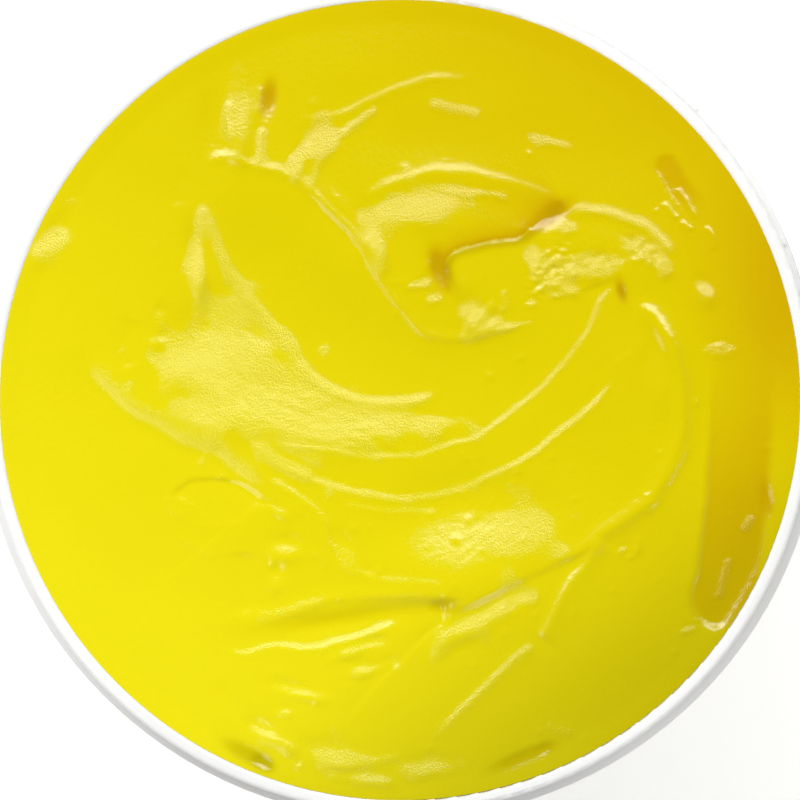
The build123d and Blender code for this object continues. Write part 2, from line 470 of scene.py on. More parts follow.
def stir_fan(r):
    """Shell-shaped swirl on the right: hollow, with a thin raised lip round its outer edge."""
    r.crest(
        [(13.2, -18.1), (18.4, -15.7), (21, -13.7), (23.7, -12), (26.2, -9.7), (27.8, -6.8), (28.9, -3.7),
         (29.1, 0), (28.4, 4.4), (27.3, 6.8), (25.4, 9.2), (23.9, 9.9)],
        0.24, 1.0, 0.8, fade=(0.2, 0.06), point=1.8,
    )
    r.crest([(15.7, -17.1), (21, -13.7), (26.2, -9.7), (28.9, -3.7), (29.1, 0), (27.3, 6.8), (23.9, 9.9)],
            0.24, 5.0, 2.0, fade=(0.2, 0.15), point=1.6)
    r.fold(
        [(5.2, -21.9), (7.9, -21), (10.5, -19.7), (13.2, -18.3), (15.7, -17.3), (18.4, -15.9), (21, -14)],
        0.09, 3.0, 0.10, 1.4, edge=0.4, fade=(0.02, 0.3),
    )
    r.facet(6.0, -14.6, 7.4, 6.0, 16, 0.86, grain=0.2)
    r.facet(13.0, -13.4, 3.8, 3.4, 30, 0.60, grain=0.8)
    r.rough(9.0, -13.8, 7.0, 4.0, 20, 0.008, 0.8, grain=0.0, streak=2.0)
    # Notch at the fan's tip, with painted shade: darker and gold.
    r.mound(22.9, 11.2, 0.5, 1.2, 15, -0.20, gold=1.0, dark=0.3)
    r.facet(26.4, 3.0, 1.1, 3.6, 8, 0.35, side=-0.10, grain=0.1)
    r.crest([(29.9, -4.6), (28.7, -6.6), (27.3, -9)], 0.08, 0.32, 0.36, grain=0.4)
    r.crest([(26.7, -10.2), (25.4, -11.8)], 0.06, 0.3, 0.36)
    r.crest([(24.7, -13.9), (24.4, -15.6), (23.4, -16.6)], 0.12, 0.3, 0.3)
    r.facet(23.0, -15.4, 0.4, 0.7, -40, 1.1, grain=1.0)


def stir_leaf(r):
    """Leaf-shaped fold at the top, hollow beneath its rim."""
    rim = [(17.8, 19.8), (14.7, 21.3), (11.8, 22.3), (7.6, 23.4), (3.4, 23.6), (0, 22.6), (-3.4, 21.2),
           (-5.6, 19.6)]
    r.crest(rim, 0.07, 0.9, 0.5, fade=(0.1, 0.2), point=1.8, grain=0.2)
    # Hollows under the rim, with painted shade turning them gold and a little darker.
    r.mound(10.0, 20.4, 7.0, 2.0, -8, -0.16, gold=0.15)
    r.mound(16.0, 19.2, 1.9, 0.8, 38, -0.26, gold=0.9, dark=0.1)
    r.facet(2.6, 20.0, 3.8, 2.2, 12, 0.86, grain=0.9)
    r.facet(-1.6, 19.4, 2.6, 1.4, 30, 0.6, grain=0.7)
    r.facet(7.0, 21.6, 3.4, 0.5, -8, 0.95, grain=0.9)
    r.crest([(-4.2, 19.2), (-2.6, 16.6), (-2.0, 13.8), (-1.8, 12.2)], 0.10, 0.6, 0.5, grain=0.4)
    r.facet(-2.8, 16.9, 1.0, 3.2, 17, 0.84, grain=0.5)
    r.crest([(-1.8, 12.3), (0.4, 12.2), (2.6, 12.6)], 0.06, 0.35, 0.35)
    r.facet(1.6, 12, 1.2, 0.45, 25, 1.0, grain=0.5)
    r.mound(2.9, 13.9, 0.5, 0.5, 0, 0.08)
    r.crest([(10.4, 17.8), (12.4, 17.7), (13.8, 17.5)], 0.05, 0.3, 0.3)


def stir_petal(r):
    """Folded lump right of the leaf: a smooth upper edge over a deep pit, and torn faces below it."""
    # The ledge and the pit beside it carry painted shade, darker and gold.
    r.ledge(
        [(17.6, 20.2), (16, 19.2), (13.9, 17.4), (12.4, 16.5), (9.6, 16), (7, 15.4), (5.6, 14.8),
         (5.0, 13.8), (5.3, 12.4), (6.2, 10.8), (6.8, 9)],
        0.10, 0.5, 1.6, fade=(0.08, 0.3), gold=0.9,
    )
    r.mound(4.1, 13.6, 0.9, 2.0, 20, -0.22, gold=1.0, dark=0.3)
    r.crest(
        [(28.4, 14.6), (27, 16.2), (25.2, 17.8), (22.8, 18.7), (20, 19.4), (17, 19.6)],
        0.10, 0.5, 0.7, fade=(0.1, 0.15), grain=0.5,
    )
    r.mound(22.6, 14.6, 6.0, 3.0, -12, 0.15, flat=3.0)
    r.fold([(14.6, 11.8), (17.6, 11.1), (20.4, 11.9), (22.6, 12.8)], 0.06, 1.0, 0.06, 1.6, edge=0.3)
    torn = [
        (14.0, 14.4, 0.9, 2.1, 18), (15.9, 12.4, 1.5, 1.4, -30), (17.6, 11.4, 1.2, 0.8, -20),
        (16.2, 10.9, 0.9, 0.4, 0), (17.2, 17.9, 1.2, 0.6, 5), (25.4, 15.2, 2.4, 1.1, -36),
        (27.0, 14.0, 0.7, 1.4, 25), (7.6, 8.8, 1.3, 2.0, 22), (9.6, 8.0, 1.3, 0.6, 30),
        (3.4, 10.4, 0.9, 0.6, 20), (11.2, 7.6, 1.8, 0.35, 10), (1.7, 11.8, 0.9, 0.35, 15),
    ]
    for x, y, long, short, angle in torn:
        r.facet(x, y, long, short, angle, 1.0, grain=1.0)
    r.facet(19.8, 13.8, 3.0, 1.4, 8, 0.8, grain=1.0)
    r.rough(15.4, 13.4, 1.8, 3.0, -30, 0.07, 0.9, grain=0.4)
    r.rough(19.8, 13.8, 3.2, 1.6, 8, 0.05, 1.0, grain=0.4)
    r.rough(25.4, 15.2, 2.6, 1.3, -36, 0.06, 0.8, grain=0.4)
    r.rough(8.4, 8.6, 2.2, 1.8, 0, 0.03, 0.8, grain=0.4)
    r.crest([(10.6, 11.4), (10.9, 10), (10.6, 9)], 0.07, 0.25, 0.3, grain=0.6)
    r.facet(13.6, 10, 0.5, 0.35, 0, 1.2, grain=1.0)


def stir_top(r):
    """Smooth dish across the top, the finger-like bump at its left end and the pale facet between."""
    r.crest(
        [(9, 33.3), (7.9, 33.2), (3.4, 33.1), (0, 32.2), (-2.8, 31), (-5.8, 29.6), (-9, 29), (-12, 28.8)],
        0.08, 0.6, 0.5, fade=(0.25, 0.25), grain=0.2,
    )
    r.crest([(-2.1, 30.1), (-3.4, 29.4), (-4.9, 28.3), (-6.4, 27)], 0.06, 0.3, 0.3, grain=0.9)
    r.crest([(-6.4, 27), (-8.2, 24.6), (-9.0, 22.6), (-9.2, 21.6)], 0.06, 0.3, 0.3, grain=0.5)
    r.facet(-8.4, 26.6, 2.6, 1.5, 62, 0.84, grain=1.0)
    r.facet(-10.6, 24.8, 0.6, 1.8, -8, 0.7, grain=0.9)
    r.mound(-9.0, 30.6, 0.7, 0.5, 0, 0.05)
    r.crest([(2.6, 30.7), (5.6, 30.1), (8.6, 29.3)], 0.03, 0.3, 0.4, grain=0.9)
    r.facet(14.8, 26.9, 2.0, 0.5, -18, 0.7, grain=0.9)
    # The dish's hollow carries a little painted shade in gold.
    r.mound(4, 27, 13, 4.0, -6, -0.22, gold=0.12)
    r.mound(-16.4, 29.4, 1.5, 4.6, -4, 0.18, flat=3.0)
    r.facet(-16.4, 29.2, 1.2, 4.4, -4, 0.45, side=0.05, grain=0.3)
    r.crest([(-17.6, 31), (-17.9, 29.2), (-17.7, 26.6)], 0.05, 0.5, 0.35, grain=0.5)
    # Hollows beside the finger, with painted shade turning them gold and darker.
    r.mound(-19.6, 29.0, 1.4, 3.4, -4, -0.12, gold=0.2)
    r.mound(-13.6, 31.2, 0.9, 2.0, -10, -0.16, flat=3.0, gold=0.9, dark=0.15)
    r.crest([(-14.3, 32.6), (-14.5, 30.6), (-14.7, 29.4)], 0.08, 0.22, 0.25, grain=0.4)
    r.crest([(-14.2, 28.2), (-14.4, 26), (-14.4, 24.2)], 0.05, 0.3, 0.3, grain=1.0)


def stir_print(r):
    """Quiet ground on the lower left: an oval knife print, a pale square and a soft valley."""
    r.fold(
        [(-23.6, -10.6), (-23.2, -9.4), (-21.2, -8.3), (-18.4, -8.2), (-16, -9), (-14.2, -10.2)],
        0.02, 1.0, 0.15, 2.4, edge=0.3, fade=(0.15, 0.05),
    )
    r.crest([(-24, -9.8), (-23.8, -11), (-22.4, -12.4)], 0.04, 0.3, 0.35, grain=0.3)
    r.crest([(-23, -13.9), (-21.7, -15), (-18.9, -16.5)], 0.025, 0.4, 0.4, grain=0.3)
    r.crest([(-22, -12.6), (-19.4, -13.1), (-16, -12.6)], 0.03, 0.4, 0.5)
    r.mound(-14.2, -10.6, 0.5, 0.4, 30, -0.12)
    r.facet(-12.8, -11.2, 1.4, 0.6, -38, 0.7, grain=0.4)
    r.crest([(-16.2, -15.5), (-16.3, -18.6), (-15.8, -22.4)], -0.16, 1.5, 1.5)
    r.facet(-11.8, -15.4, 2.0, 1.3, -3, 0.9, grain=0.3)
    r.facet(-12.8, -18.6, 0.9, 1.3, -8, 0.7, grain=0.2)
    r.crest([(-9.4, -15.8), (-8.2, -16.2), (-7.4, -17.4)], 0.04, 0.4, 0.4, grain=0.3)


def stir_wave(r):
    """Wave-shaped hollow low on the left, the pit where it ends and the ground below."""
    r.crest(
        [(5.2, -20.5), (3.4, -20.4), (0, -20.2), (-4.4, -20.4), (-7.3, -20.7), (-10.5, -22),
         (-14.6, -23.2), (-17.6, -24.2)],
        0.11, 0.4, 0.8, fade=(0.02, 0.25), grain=0.2,
    )
    r.crest([(-15.4, -22.7), (-12.6, -22), (-9.4, -21), (-7.2, -20.4)], 0.05, 0.4, 0.4, grain=0.5)
    # Painted shade: the wave's hollow turned gold.
    r.mound(-6, -22.4, 9.0, 1.0, 8, -0.08, gold=0.5)
    r.crest([(-14, -24.6), (-6, -22.9), (0, -21.8), (4.6, -21.4)],
            -0.26, 1.0, 1.4, fade=(0.3, 0.02), point=2.0)
    r.fold(
        [(0.4, -22.4), (-1.7, -23.4), (-4.4, -24.4), (-7, -25.1), (-9.7, -25.6), (-12.8, -25.3),
         (-15.9, -26), (-18.3, -25.7)],
        0.06, 1.2, 0.07, 1.4, edge=0.3, fade=(0.15, 0.1), grain=0.7,
    )
    # The pit where the wave ends, with painted shade: darker and gold.
    r.mound(4.6, -21.2, 1.4, 0.7, 8, -0.16, flat=3.0, gold=1.0, dark=0.3)
    r.facet(-4.0, -25.6, 2.8, 0.7, 20, 0.9, grain=0.6)
    r.facet(-3.4, -27.8, 2.2, 0.7, 12, 0.9, grain=0.6)
    r.facet(-10.2, -30.2, 3.2, 0.8, -14, 0.95, grain=0.4)
    r.facet(-11.9, -32.2, 0.9, 0.5, -10, 0.9, grain=0.6)
    r.facet(-13.4, -34.6, 2.6, 0.8, -30, 0.9, grain=0.5)
    r.crest([(-19.3, -29.4), (-16, -32), (-12.2, -34.2)], -0.07, 1.0, 1.0)
    r.fold(
        [(5.4, -22.2), (3.4, -23.7), (0, -27.2), (-2.3, -29.4), (-4.4, -31.8), (-5.8, -33.6)],
        0.03, 1.6, 0.06, 1.2, edge=0.25, fade=(0.02, 0.15),
    )
    r.crest([(5.2, -22.3), (3.2, -23.8), (1.0, -26)], -0.08, 0.35, 0.35, fade=(0.05, 0.4))


def stir_lower_right(r):
    """Smooth mass on the lower right with two long bright crests."""
    r.facet(8.0, -22.8, 4.4, 1.3, 32, 0.85, grain=1.0)
    r.facet(11.4, -21, 2.0, 1.1, 40, 0.7, grain=0.9)
    r.mound(11.5, -21.3, 0.3, 0.3, 0, -0.10)
    r.crest([(21, -14.4), (19.4, -16.6), (18, -18.4), (16.6, -20.6), (15.6, -22.8), (14.4, -24.6)],
            0.24, 1.3, 0.50, fade=(0.06, 0.06), grain=0.3)
    r.crest([(13.9, -25.2), (12, -26.6), (10, -28.6), (7.6, -30.8), (4.6, -33.8), (2.4, -35.6)],
            0.15, 1.1, 0.38, fade=(0.05, 0.3), grain=0.8)
    r.crest([(15, -33.6), (16.8, -34.2), (18, -34.6)], 0.05, 0.3, 0.4, grain=0.5)
    r.mound(26.8, -18.6, 0.3, 0.3, 0, 0.06)
    r.mound(27.8, -27.0, 0.3, 0.4, 0, 0.08)
    r.facet(29.8, -23.6, 0.9, 0.4, 30, 0.9, grain=0.8)


def stir_right(r):
    """Lower ground against the right wall: two round-ended slots and small broken crests."""
    # The slot floors carry painted shade in gold.
    r.trough([(35.5, 6), (35.2, -3), (34.9, -10), (34.2, -16), (33.4, -20.4)], 0.30, 3.2,
             wall=0.2, fade=(0.8, 0.0), gold=0.9)
    # Painted shade: the ground against the right wall turned darker gold, with no change of height.
    r.mound(40, 8, 8, 15, 0, 0.0, gold=0.55)
    r.crest([(32.2, 4), (31.9, -3), (31.3, -10), (30.7, -16), (30.2, -20.6)],
            0.10, 0.6, 0.5, fade=(0.3, 0.1))
    r.crest([(34.2, -16.2), (33.5, -18), (33, -20.8)], 0.12, 0.25, 0.3, grain=0.8)
    r.crest([(36.5, -12), (35.4, -13.7)], 0.12, 0.25, 0.3, grain=0.8)
    r.trough([(27.6, 24.2), (29.2, 21.6), (31.6, 18.6)], 0.12, 1.1, wall=0.4, fade=(0.0, 0.7), gold=0.4)
    for path in [
        [(28.5, 21.9), (29.8, 20.2), (30.6, 18.7)],
        [(27.2, 20.4), (28, 19.3), (28.6, 18.6)],
        [(28.9, 18.4), (30.2, 17.5)],
        [(31.4, 17.9), (32.2, 16.9), (32.5, 15.5)],
    ]:
        r.crest(path, 0.13, 0.2, 0.22, fade=(0.1, 0.1))
    r.mound(26.5, 19.5, 0.22, 0.22, 0, 0.12)
    r.mound(31.4, 11.3, 1.1, 0.6, -58, 0.16, flat=3.0)
    r.facet(31.5, 11.3, 1.6, 0.9, -58, 1.05, grain=0.4)
    r.facet(33.0, 5.4, 1.5, 0.8, 5, 1.1, grain=0.6)
    r.rough(32.8, 5.2, 1.2, 0.7, 5, 0.06, 0.8)
    r.mound(38.2, -10.6, 0.6, 1.8, 10, -0.16, gold=0.6)


def stir_edges(r):
    """Marks where the paint meets the wall: wedges that the knife left, and brighter lips."""
    # Wedges hollowed at the wall, with painted shade: darker and gold.
    r.mound(-15.8, -36.6, 2.8, 0.9, -27, -0.14, flat=3.0, gold=0.8, dark=0.5)
    r.mound(-14.1, -37.5, 1.0, 0.7, -35, -0.14, gold=1.0, dark=1.0)
    r.mound(12.6, -37.0, 3.2, 0.7, 22, -0.14, flat=3.0, gold=1.0, dark=0.5)
    r.mound(15.0, -36.0, 0.8, 0.5, 22, -0.10, gold=1.0, dark=0.7)
    r.facet(-36.2, 16.4, 1.4, 2.6, -35, 0.7, grain=1.0)
    r.crest([(-6.2, -36.1), (-4.4, -37), (-2.3, -37.3), (0.4, -36.7)], 0.09, 0.3, 0.4, grain=0.5)
    r.rough(-10.6, -37.8, 0.7, 0.7, 0, 0.05, 0.8)
    r.rough(-6.4, -37.2, 1.4, 0.8, 0, 0.05, 0.9)
    r.facet(-6.6, -36.9, 3.4, 1.5, -12, 0.75, grain=0.8)
    r.facet(-3.6, -39.0, 3.0, 0.7, -5, 0.9, grain=0.5)
    r.facet(2.6, -38.0, 3.0, 1.1, 10, 0.75, grain=0.8)


def pimples(r, count):
    """Tiny bubbles scattered in the skin, most of them on the lower right."""
    source = np.random.default_rng(23)
    offset = 14
    spread = 14
    for _ in range(count):
        x = source.normal(offset, spread)
        y = source.normal(-offset, spread)
        size = source.uniform(0.22, 0.4)
        r.mound(x, y, size, size, 0, 0.26 * size)


def stir_paint(x, y):
    """(height in millimetres, named fields from 0 to 1) of the stirred paint at each point."""
    r = Relief(x, y)
    calm = smoothstep(0, 8, paint_reach / MM - np.hypot(x, y))
    r.h += calm * (0.06 * lumps(x, y, 24.0, 5) + 0.008 * lumps(x, y, 7.0, 6))
    for stir in (stir_top, stir_print, stir_swipe, stir_bank, stir_rings, stir_fan, stir_leaf,
                 stir_petal, stir_wave, stir_lower_right, stir_right, stir_edges):
        stir(r)
    pimples(r, 70)
    # Painted shade: the paint darkens towards the lower right, where less light falls.
    low_right = smoothstep(18, 42, 0.5 * x - 0.87 * y)
    r.shade += low_right
    r.grain += 0.06 + 0.2 * low_right
    fields = {"grain": r.grain, "gold": r.gold, "shade": r.shade}
    return r.h, {name: np.clip(field, 0.0, 1.0) for name, field in fields.items()}


def disc_grid(count):
    """Even grid of count cells a side on the unit disc, square rings turned into circles."""
    side = np.linspace(-1, 1, count + 1)
    a, b = np.meshgrid(side, side)
    a = a.ravel()
    b = b.ravel()
    wide = np.abs(a) > np.abs(b)
    safe_a = np.where(np.abs(a) < 1e-12, 1e-12, a)
    safe_b = np.where(np.abs(b) < 1e-12, 1e-12, b)
    radius = np.where(wide, a, b)
    angle = np.where(wide, (math.pi / 4) * (b / safe_a), math.pi / 2 - (math.pi / 4) * (a / safe_b))
    return radius * np.cos(angle), radius * np.sin(angle)


def mesh_object(name, vertices, faces):
    """New smooth-shaded mesh object in the scene from vertices in metres and faces."""
    mesh = bpy.data.meshes.new(name)
    mesh.from_pydata(vertices, [], faces)
    mesh.validate()
    mesh.shade_smooth()
    made = bpy.data.objects.new(name, mesh)
    bpy.context.scene.collection.objects.link(made)
    return made


def grid_border(count):
    """Indices of the grid's border vertices, anticlockwise."""
    side = count + 1
    bottom = list(range(count))
    right = [count + side * j for j in range(count)]
    top = [side * count + count - i for i in range(count)]
    left = [side * (count - j) for j in range(count)]
    return bottom + right + top + left


def make_paint():
    """Closed body of paint: stirred top, sides against the jar's inner wall, flat bottom."""
    unit_x, unit_y = disc_grid(paint_cells)
    x = unit_x * paint_reach
    y = unit_y * paint_reach
    height, fields = stir_paint(x / MM, y / MM)
    from_wall = (paint_reach - np.hypot(x, y)) / MM
    calm_width = 1.2
    creep_width = 2.5
    z = paint_level + height * smoothstep(0.0, calm_width, from_wall) * MM
    z += paint_creep * (1 - smoothstep(0.0, creep_width, from_wall))
    vertices = list(zip(x.tolist(), y.tolist(), z.tolist()))
    side = paint_cells + 1
    faces = []
    for row in range(paint_cells):
        for column in range(paint_cells):
            corner = row * side + column
            faces.append((corner, corner + 1, corner + side + 1, corner + side))
    border = grid_border(paint_cells)
    angles = [math.atan2(vertices[i][1], vertices[i][0]) for i in border]
    neck_side = mouth_radius - 0.03 * MM
    rim_round = 0.7 * MM
    neck_depth = 18.4 * MM
    shoulder_depth = 21.4 * MM
    base_bevel = 2.5 * MM
    profile = [
        (neck_side, rim_z - rim_round),
        (neck_side, rim_z - neck_depth),
        (body_radius, rim_z - shoulder_depth),
        (body_radius, paint_low.z + base_bevel),
        (body_radius - base_bevel, paint_low.z),
    ]
    last = border
    for radius, level in profile:
        start = len(vertices)
        vertices += [(radius * math.cos(t), radius * math.sin(t), level) for t in angles]
        ring = list(range(start, start + len(border)))
        for k in range(len(border)):
            after = (k + 1) % len(border)
            faces.append((last[k], ring[k], ring[after], last[after]))
        last = ring
    centre = len(vertices)
    vertices.append((0.0, 0.0, paint_low.z))
    for k in range(len(last)):
        faces.append((last[k], centre, last[(k + 1) % len(last)]))
    made = mesh_object("stirred_paint", vertices, faces)
    made.data.set_sharp_from_angle(angle=math.radians(75))
    for name, field in fields.items():
        layer = made.data.attributes.new(name, "FLOAT", "POINT")
        values = np.zeros(len(vertices), np.float32)
        values[: len(field)] = field
        layer.data.foreach_set("value", values)
    return made


def field_value(nodes, name):
    """Value of a named field stored on the mesh."""
    node = nodes.new("ShaderNodeAttribute")
    node.attribute_name = name
    return node.outputs["Fac"]


def paint_material(name, across, along):
    """Thick glossy yellow paste whose colour turns from lemon to a darker gold by so much per metre along
    X and Y: a painted light falloff, brightest at the lower left.
    """
    material, nodes, output = new_material(name)
    place = object_position(nodes)
    shader = principled(nodes, output, IOR=1.5)
    # Painted light falloff: bright lemon at the lower left, darker gold towards the upper right.
    tint = scaled(nodes, axes(nodes, place)["X"], across, 0.47)
    tint = scaled(nodes, axes(nodes, place)["Y"], along, tint)
    tint = scaled(nodes, noise(nodes, place, 60.0), 0.06, tint)
    # Painted shade: the gold field turns pits, slots, hollows and the right edge darker gold.
    tint = scaled(nodes, field_value(nodes, "gold"), 0.35, tint)
    colour = ramp(nodes, tint, [
        (0.22, (0.79, 0.695, 0.006, 1.0)),
        (0.36, (0.745, 0.643, 0.003, 1.0)),
        (0.54, (0.685, 0.573, 0.001, 1.0)),
        (0.72, (0.66, 0.53, 0.0, 1.0)),
        (0.98, (0.565, 0.355, 0.0, 1.0)),
    ])
    # Painted shade: the shade field darkens the colour in pits, under ledges and towards the lower right.
    shade_darkening = scaled(nodes, field_value(nodes, "shade"), 0.32, 0.0)
    join(mixed(nodes, shade_darkening, colour, grey(0.0), "MULTIPLY"), shader.inputs["Base Color"])
    grain = field_value(nodes, "grain")
    join(scaled(nodes, grain, 0.10, 0.105), shader.inputs["Roughness"])
    beads = noise(nodes, place, 4200.0, roughness=0.6)
    beads = scaled(nodes, beads, grain, 0.0)
    skin = bump(nodes, noise(nodes, place, 1500.0, detail=4.0), 0.3, 0.1 * MM)
    join(bump(nodes, beads, 1.0, 0.09 * MM, skin), shader.inputs["Normal"])
    return material


def moulded_plastic(name, colour, rough, mark):
    """Moulded polypropylene: a little cloudy, satin with handling marks, faintly pebbled by the mould."""
    material, nodes, output = new_material(name)
    shader = principled(nodes, output, IOR=1.49, Subsurface_Weight=0.08, Subsurface_Scale=0.002)
    place = object_position(nodes)
    cloud = noise(nodes, place, 40.0, detail=4.0)
    darker = tuple(0.955 * part for part in colour[:3]) + (1.0,)
    join(ramp(nodes, cloud, [(0.3, darker), (0.6, colour)]), shader.inputs["Base Color"])
    rubbed = noise(nodes, place, 90.0, detail=6.0, roughness=0.7, stretch=(1.0, 1.0, mark))
    finish = ramp(nodes, rubbed, [(0.35, grey(rough - 0.06)), (0.7, grey(rough + 0.10))])
    join(finish, shader.inputs["Roughness"])
    pebble = bump(nodes, noise(nodes, place, 1800.0, detail=2.0), 0.25, 0.05 * MM)
    wave = noise(nodes, place, 120.0, detail=2.0)
    join(bump(nodes, wave, 0.15, 0.4 * MM, pebble), shader.inputs["Normal"])
    return material


def printed_film(name, wear):
    """Thinly coated satin film with worn patches; returns (material, nodes, shader, patches)."""
    material, nodes, output = new_material(name)
    shader = principled(nodes, output, Coat_Weight=0.25, Coat_Roughness=0.2)
    worn = noise(nodes, object_position(nodes), wear, detail=5.0)
    finish = ramp(nodes, worn, [(0.35, grey(0.26)), (0.7, grey(0.42))])
    join(finish, shader.inputs["Roughness"])
    return material, nodes, shader, worn


def label_film():
    """Satin printed film round the jar: plain rules near its edges and a brushed band of the colour."""
    material, nodes, shader, _ = printed_film("printed_label_film", 120.0)
    place = object_position(nodes)
    tall = label_high.z - label_low.z
    height = scaled(nodes, axes(nodes, place)["Z"], 1 / tall, -label_low.z / tall)
    deep = (0.60, 0.42, 0.0, 1.0)
    rules = ramp(nodes, height, [
        (0.0, film_white), (0.055, ink_black), (0.07, film_white), (0.095, deep), (0.10, film_white),
        (0.895, deep), (0.90, film_white), (0.925, ink_black), (0.94, film_white),
    ], steps="CONSTANT")
    ragged = noise(nodes, place, 70.0, detail=6.0, roughness=0.7, stretch=(1.0, 1.0, 6.0))
    brushed = scaled(nodes, ragged, 0.10, height)
    band = ramp(nodes, brushed, [
        (0.0, grey(0.0)), (0.335, grey(0.0)), (0.34, grey(1.0)), (0.74, grey(1.0)), (0.745, grey(0.0)),
    ])
    bristles = noise(nodes, place, 30.0, detail=5.0, stretch=(1.0, 1.0, 60.0))
    stroke = ramp(nodes, bristles, [
        (0.32, (0.80, 0.72, 0.10, 1.0)), (0.45, (0.76, 0.66, 0.006, 1.0)), (0.65, (0.66, 0.51, 0.0, 1.0)),
    ])
    join(mixed(nodes, band, rules, stroke), shader.inputs["Base Color"])
    ripple = noise(nodes, place, 50.0, detail=2.0)
    join(bump(nodes, ripple, 0.2, 0.3 * MM), shader.inputs["Normal"])
    return material


def lid_reach(nodes, place):
    """Distance of a position from the lid's axis, 1 at 50 mm."""
    return scaled(nodes, from_axis(nodes, place, lid_centre), 1 / (50 * MM), 0.0)


def lid_film():
    """Round film on the lid's top: a dot of the colour inside a dark ring and a yellow one."""
    material, nodes, shader, worn = printed_film("printed_lid_film", 150.0)
    yellow = (0.74, 0.62, 0.003, 1.0)
    rings = ramp(nodes, lid_reach(nodes, object_position(nodes)), [
        (0.0, yellow), (0.40, film_white), (0.60, ink_black), (0.615, film_white), (0.65, yellow),
        (0.70, film_white),
    ], steps="CONSTANT")
    join(rings, shader.inputs["Base Color"])
    join(bump(nodes, worn, 0.1, 0.2 * MM), shader.inputs["Normal"])
    return material


def liner_foam():
    """Fine closed-cell foam, stained yellow where the rim and the paint have touched it."""
    material, nodes, output = new_material("stained_liner_foam")
    shader = principled(nodes, output)
    place = object_position(nodes)
    cells = nodes.new("ShaderNodeTexVoronoi")
    cells.inputs["Scale"].default_value = 1800.0
    join(place, cells.inputs["Vector"])
    foam = ramp(nodes, cells.outputs["Distance"], [
        (0.1, (0.80, 0.79, 0.74, 1.0)), (0.6, (0.88, 0.87, 0.83, 1.0)),
    ])
    spread = noise(nodes, place, 110.0, detail=6.0, roughness=0.65)
    spread = scaled(nodes, spread, 0.16, -0.08)
    reach = scaled(nodes, spread, 1.0, lid_reach(nodes, place))
    stain = ramp(nodes, reach, [
        (0.0, grey(0.0)), (0.60, grey(0.06)), (0.76, grey(0.5)), (0.81, grey(0.95)), (0.85, grey(0.85)),
        (0.87, grey(0.1)), (0.95, grey(0.0)),
    ])
    join(mixed(nodes, stain, foam, (0.70, 0.57, 0.004, 1.0)), shader.inputs["Base Color"])
    join(scaled(nodes, stain, -0.35, 0.75), shader.inputs["Roughness"])
    join(bump(nodes, cells.outputs["Distance"], 0.5, 0.08 * MM), shader.inputs["Normal"])
    return material


def dress(node, material):
    """Put one material on a CAD node."""
    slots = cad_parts[node].data.materials
    slots.clear()
    slots.append(material)


def surface_of(*nodes):
    """Search tree over the meshes of CAD nodes."""
    vertices = []
    faces = []
    for node in nodes:
        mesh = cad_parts[node].data
        start = len(vertices)
        vertices += [v.co.copy() for v in mesh.vertices]
        faces += [[start + i for i in face.vertices] for face in mesh.polygons]
    return BVHTree.FromPolygons(vertices, faces)


def spaced(values, share):
    """Values given at even steps from 0 to 1, read at each share between them."""
    return np.interp(share, np.linspace(0, 1, len(values)), values)


def smear(name, surface, line, sideways, half, thick, seed):
    """Closed ribbon of paste laid on a surface along a line of points in metres.

    sideways holds the unit vector across the ribbon at each point; half and thick give its half
    width and thickness in millimetres at even steps along the line. The ribbon sinks into the surface
    a little, as wet paste clings.
    """
    rows = 70
    columns = 29
    lump_length = 20
    lump_width = 4
    sunk_edge = 0.02
    sunk_base = 0.06
    share = np.linspace(0, 1, rows)
    middle = np.stack([spaced(values, share) for values in zip(*line)], axis=1)
    across = np.stack([spaced(values, share) for values in zip(*sideways)], axis=1)
    over = np.linspace(-1, 1, columns)
    s, u = np.meshgrid(share * lump_length, over * lump_width, indexing="ij")
    ragged = 1 + 0.18 * lumps(s, u, 5.0, seed)
    round_back = np.sqrt(np.clip(1 - (u / lump_width) ** 2, 0, 1))
    round_ends = np.sqrt(fading(share, (0.12, 0.06)))
    level = spaced(thick, share)[:, None] * (round_back * ragged) * round_ends[:, None]
    width = spaced(half, share) * (0.15 + 0.85 * round_ends)
    width *= 1 + 0.10 * wobble(share * lump_length, 1.0, 16.0, seed)
    outer = []
    inner = []
    for row in range(rows):
        for column in range(columns):
            source = Vector(middle[row] + across[row] * over[column] * width[row] * MM)
            place, normal, _, _ = surface.find_nearest(source)
            outer.append(place + normal * float((level[row, column] - sunk_edge) * MM))
            inner.append(place - normal * sunk_base * MM)
    faces = []
    count = rows * columns
    for row in range(rows - 1):
        for column in range(columns - 1):
            a = row * columns + column
            quad = (a, a + 1, a + columns + 1, a + columns)
            faces.append(quad)
            faces.append(tuple(count + i for i in reversed(quad)))
    border = list(range(columns)) + [columns * r + columns - 1 for r in range(1, rows)]
    border += [columns * (rows - 1) + c for c in range(columns - 2, -1, -1)]
    border += [columns * r for r in range(rows - 2, 0, -1)]
    for k in range(len(border)):
        a, b = border[k], border[(k + 1) % len(border)]
        faces.append((a, b, count + b, count + a))
    made = mesh_object(name, [tuple(v) for v in outer + inner], faces)
    work = bmesh.new()
    work.from_mesh(made.data)
    bmesh.ops.recalc_face_normals(work, faces=work.faces)
    work.to_mesh(made.data)
    work.free()
    return made


def around(radius, height, degrees, centre=(0.0, 0.0)):
    """Point at a radius in millimetres and a height in metres, on a bearing about an upright axis."""
    turn = math.radians(degrees)
    return (centre[0] + radius * MM * math.cos(turn), centre[1] + radius * MM * math.sin(turn), height)


def crosswise(degrees):
    """Unit vector at right angles to a bearing."""
    turn = math.radians(degrees)
    return (-math.sin(turn), math.cos(turn), 0.0)


def attach(piece, body, material):
    """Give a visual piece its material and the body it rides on."""
    piece.data.materials.append(material)
    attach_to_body(piece, body)


